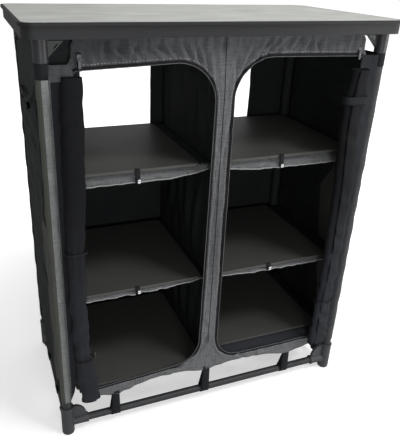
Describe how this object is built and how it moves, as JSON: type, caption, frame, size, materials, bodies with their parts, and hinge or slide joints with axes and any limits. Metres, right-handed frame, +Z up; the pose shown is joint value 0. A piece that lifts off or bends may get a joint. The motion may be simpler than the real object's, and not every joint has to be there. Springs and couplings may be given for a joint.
{
  "type": "camping cupboard",
  "caption": "Tube-framed camping cupboard with a laminated top, a cloth cover, open compartments with boards and rolled-up zipped doors.",
  "frame": {"origin": "middle of the bounding box on the floor", "axes": "+X to the right of someone facing the doors, +Y to the back, +Z up"},
  "size_m": [0.9, 0.488, 1.06],
  "materials": {
    "laminate": "matt stone-grey laminate on board",
    "edge_profile": "dark grey, fine texture",
    "steel": "plated",
    "zip_metal": "dark nickel",
    "black_plastic": "black",
    "tube_paint": "dark grey powder coat",
    "connector_plastic": "dark grey moulding",
    "grey_cloth": "grey melange polyester",
    "black_cloth": "black polyester",
    "stiffener": "black satin foil on thin board",
    "webbing": "black webbing"
  },
  "bodies": {
    "cupboard": {"back_and_side_hem_straps": "webbing", "back_panel": "black_cloth", "bottom_rail_back": "tube_paint", "bottom_rail_front": "tube_paint", "bottom_rail_left": "tube_paint", "bottom_rail_right": "tube_paint", "centre_divider": "black_cloth", "door_ties": "webbing", "foot_back_left": "connector_plastic", "foot_back_right": "connector_plastic", "foot_front_left": "connector_plastic", "foot_front_right": "connector_plastic", "front_hem_straps": "webbing", "front_panel": "grey_cloth", "left_door_roll": "black_cloth", "left_floor_board": "stiffener", "left_floor_sling": "black_cloth", "left_middle_board": "stiffener", "left_middle_sling": "grey_cloth", "left_side_panel": "black_cloth", "left_upper_board": "stiffener", "left_upper_sling": "grey_cloth", "left_zip_tape": "webbing", "leg_back_left": "tube_paint", "leg_back_right": "tube_paint", "leg_front_left": "tube_paint", "leg_front_right": "tube_paint", "right_door_roll": "black_cloth", "right_floor_board": "stiffener", "right_floor_sling": "black_cloth", "right_middle_board": "stiffener", "right_middle_sling": "grey_cloth", "right_side_panel": "black_cloth", "right_upper_board": "stiffener", "right_upper_sling": "grey_cloth", "right_zip_tape": "webbing", "shelf_straps": "webbing", "side_pocket": "black_cloth", "sleeve_back_left": "black_cloth", "sleeve_back_right": "black_cloth", "sleeve_front_left": "grey_cloth", "sleeve_front_right": "grey_cloth", "sleeve_top_bands": "webbing", "strap_buckles": "steel", "tie_toggle": "black_plastic", "top_connector_back_left": "connector_plastic", "top_connector_back_right": "connector_plastic", "top_connector_front_left": "connector_plastic", "top_connector_front_right": "connector_plastic", "top_rail_back": "tube_paint", "top_rail_front": "tube_paint", "top_rail_left": "tube_paint", "top_rail_right": "tube_paint", "zip_sliders": "zip_metal"},
    "tabletop": {"tabletop_board": "laminate", "tabletop_edge_frame": "edge_profile", "tabletop_sockets": "black_plastic", "tabletop_screws": "steel"},
    "left_pull": {"left_zip_pull": "zip_metal"},
    "right_pull": {"right_zip_pull": "zip_metal"}
  },
  "joints": [
    {"name": "tabletop_lift", "type": "slide", "parent": "cupboard", "child": "tabletop", "axis": [0, 0, 1], "range_m": [0, 0.12]},
    {"name": "left_pull_swing", "type": "hinge", "parent": "cupboard", "child": "left_pull", "pos_m": [-0.3375, -0.2154, 0.98875], "axis": [-1, 0, 0], "range_deg": [0, 150]},
    {"name": "right_pull_swing", "type": "hinge", "parent": "cupboard", "child": "right_pull", "pos_m": [0.3375, -0.2154, 0.98875], "axis": [-1, 0, 0], "range_deg": [0, 150]}
  ]
}
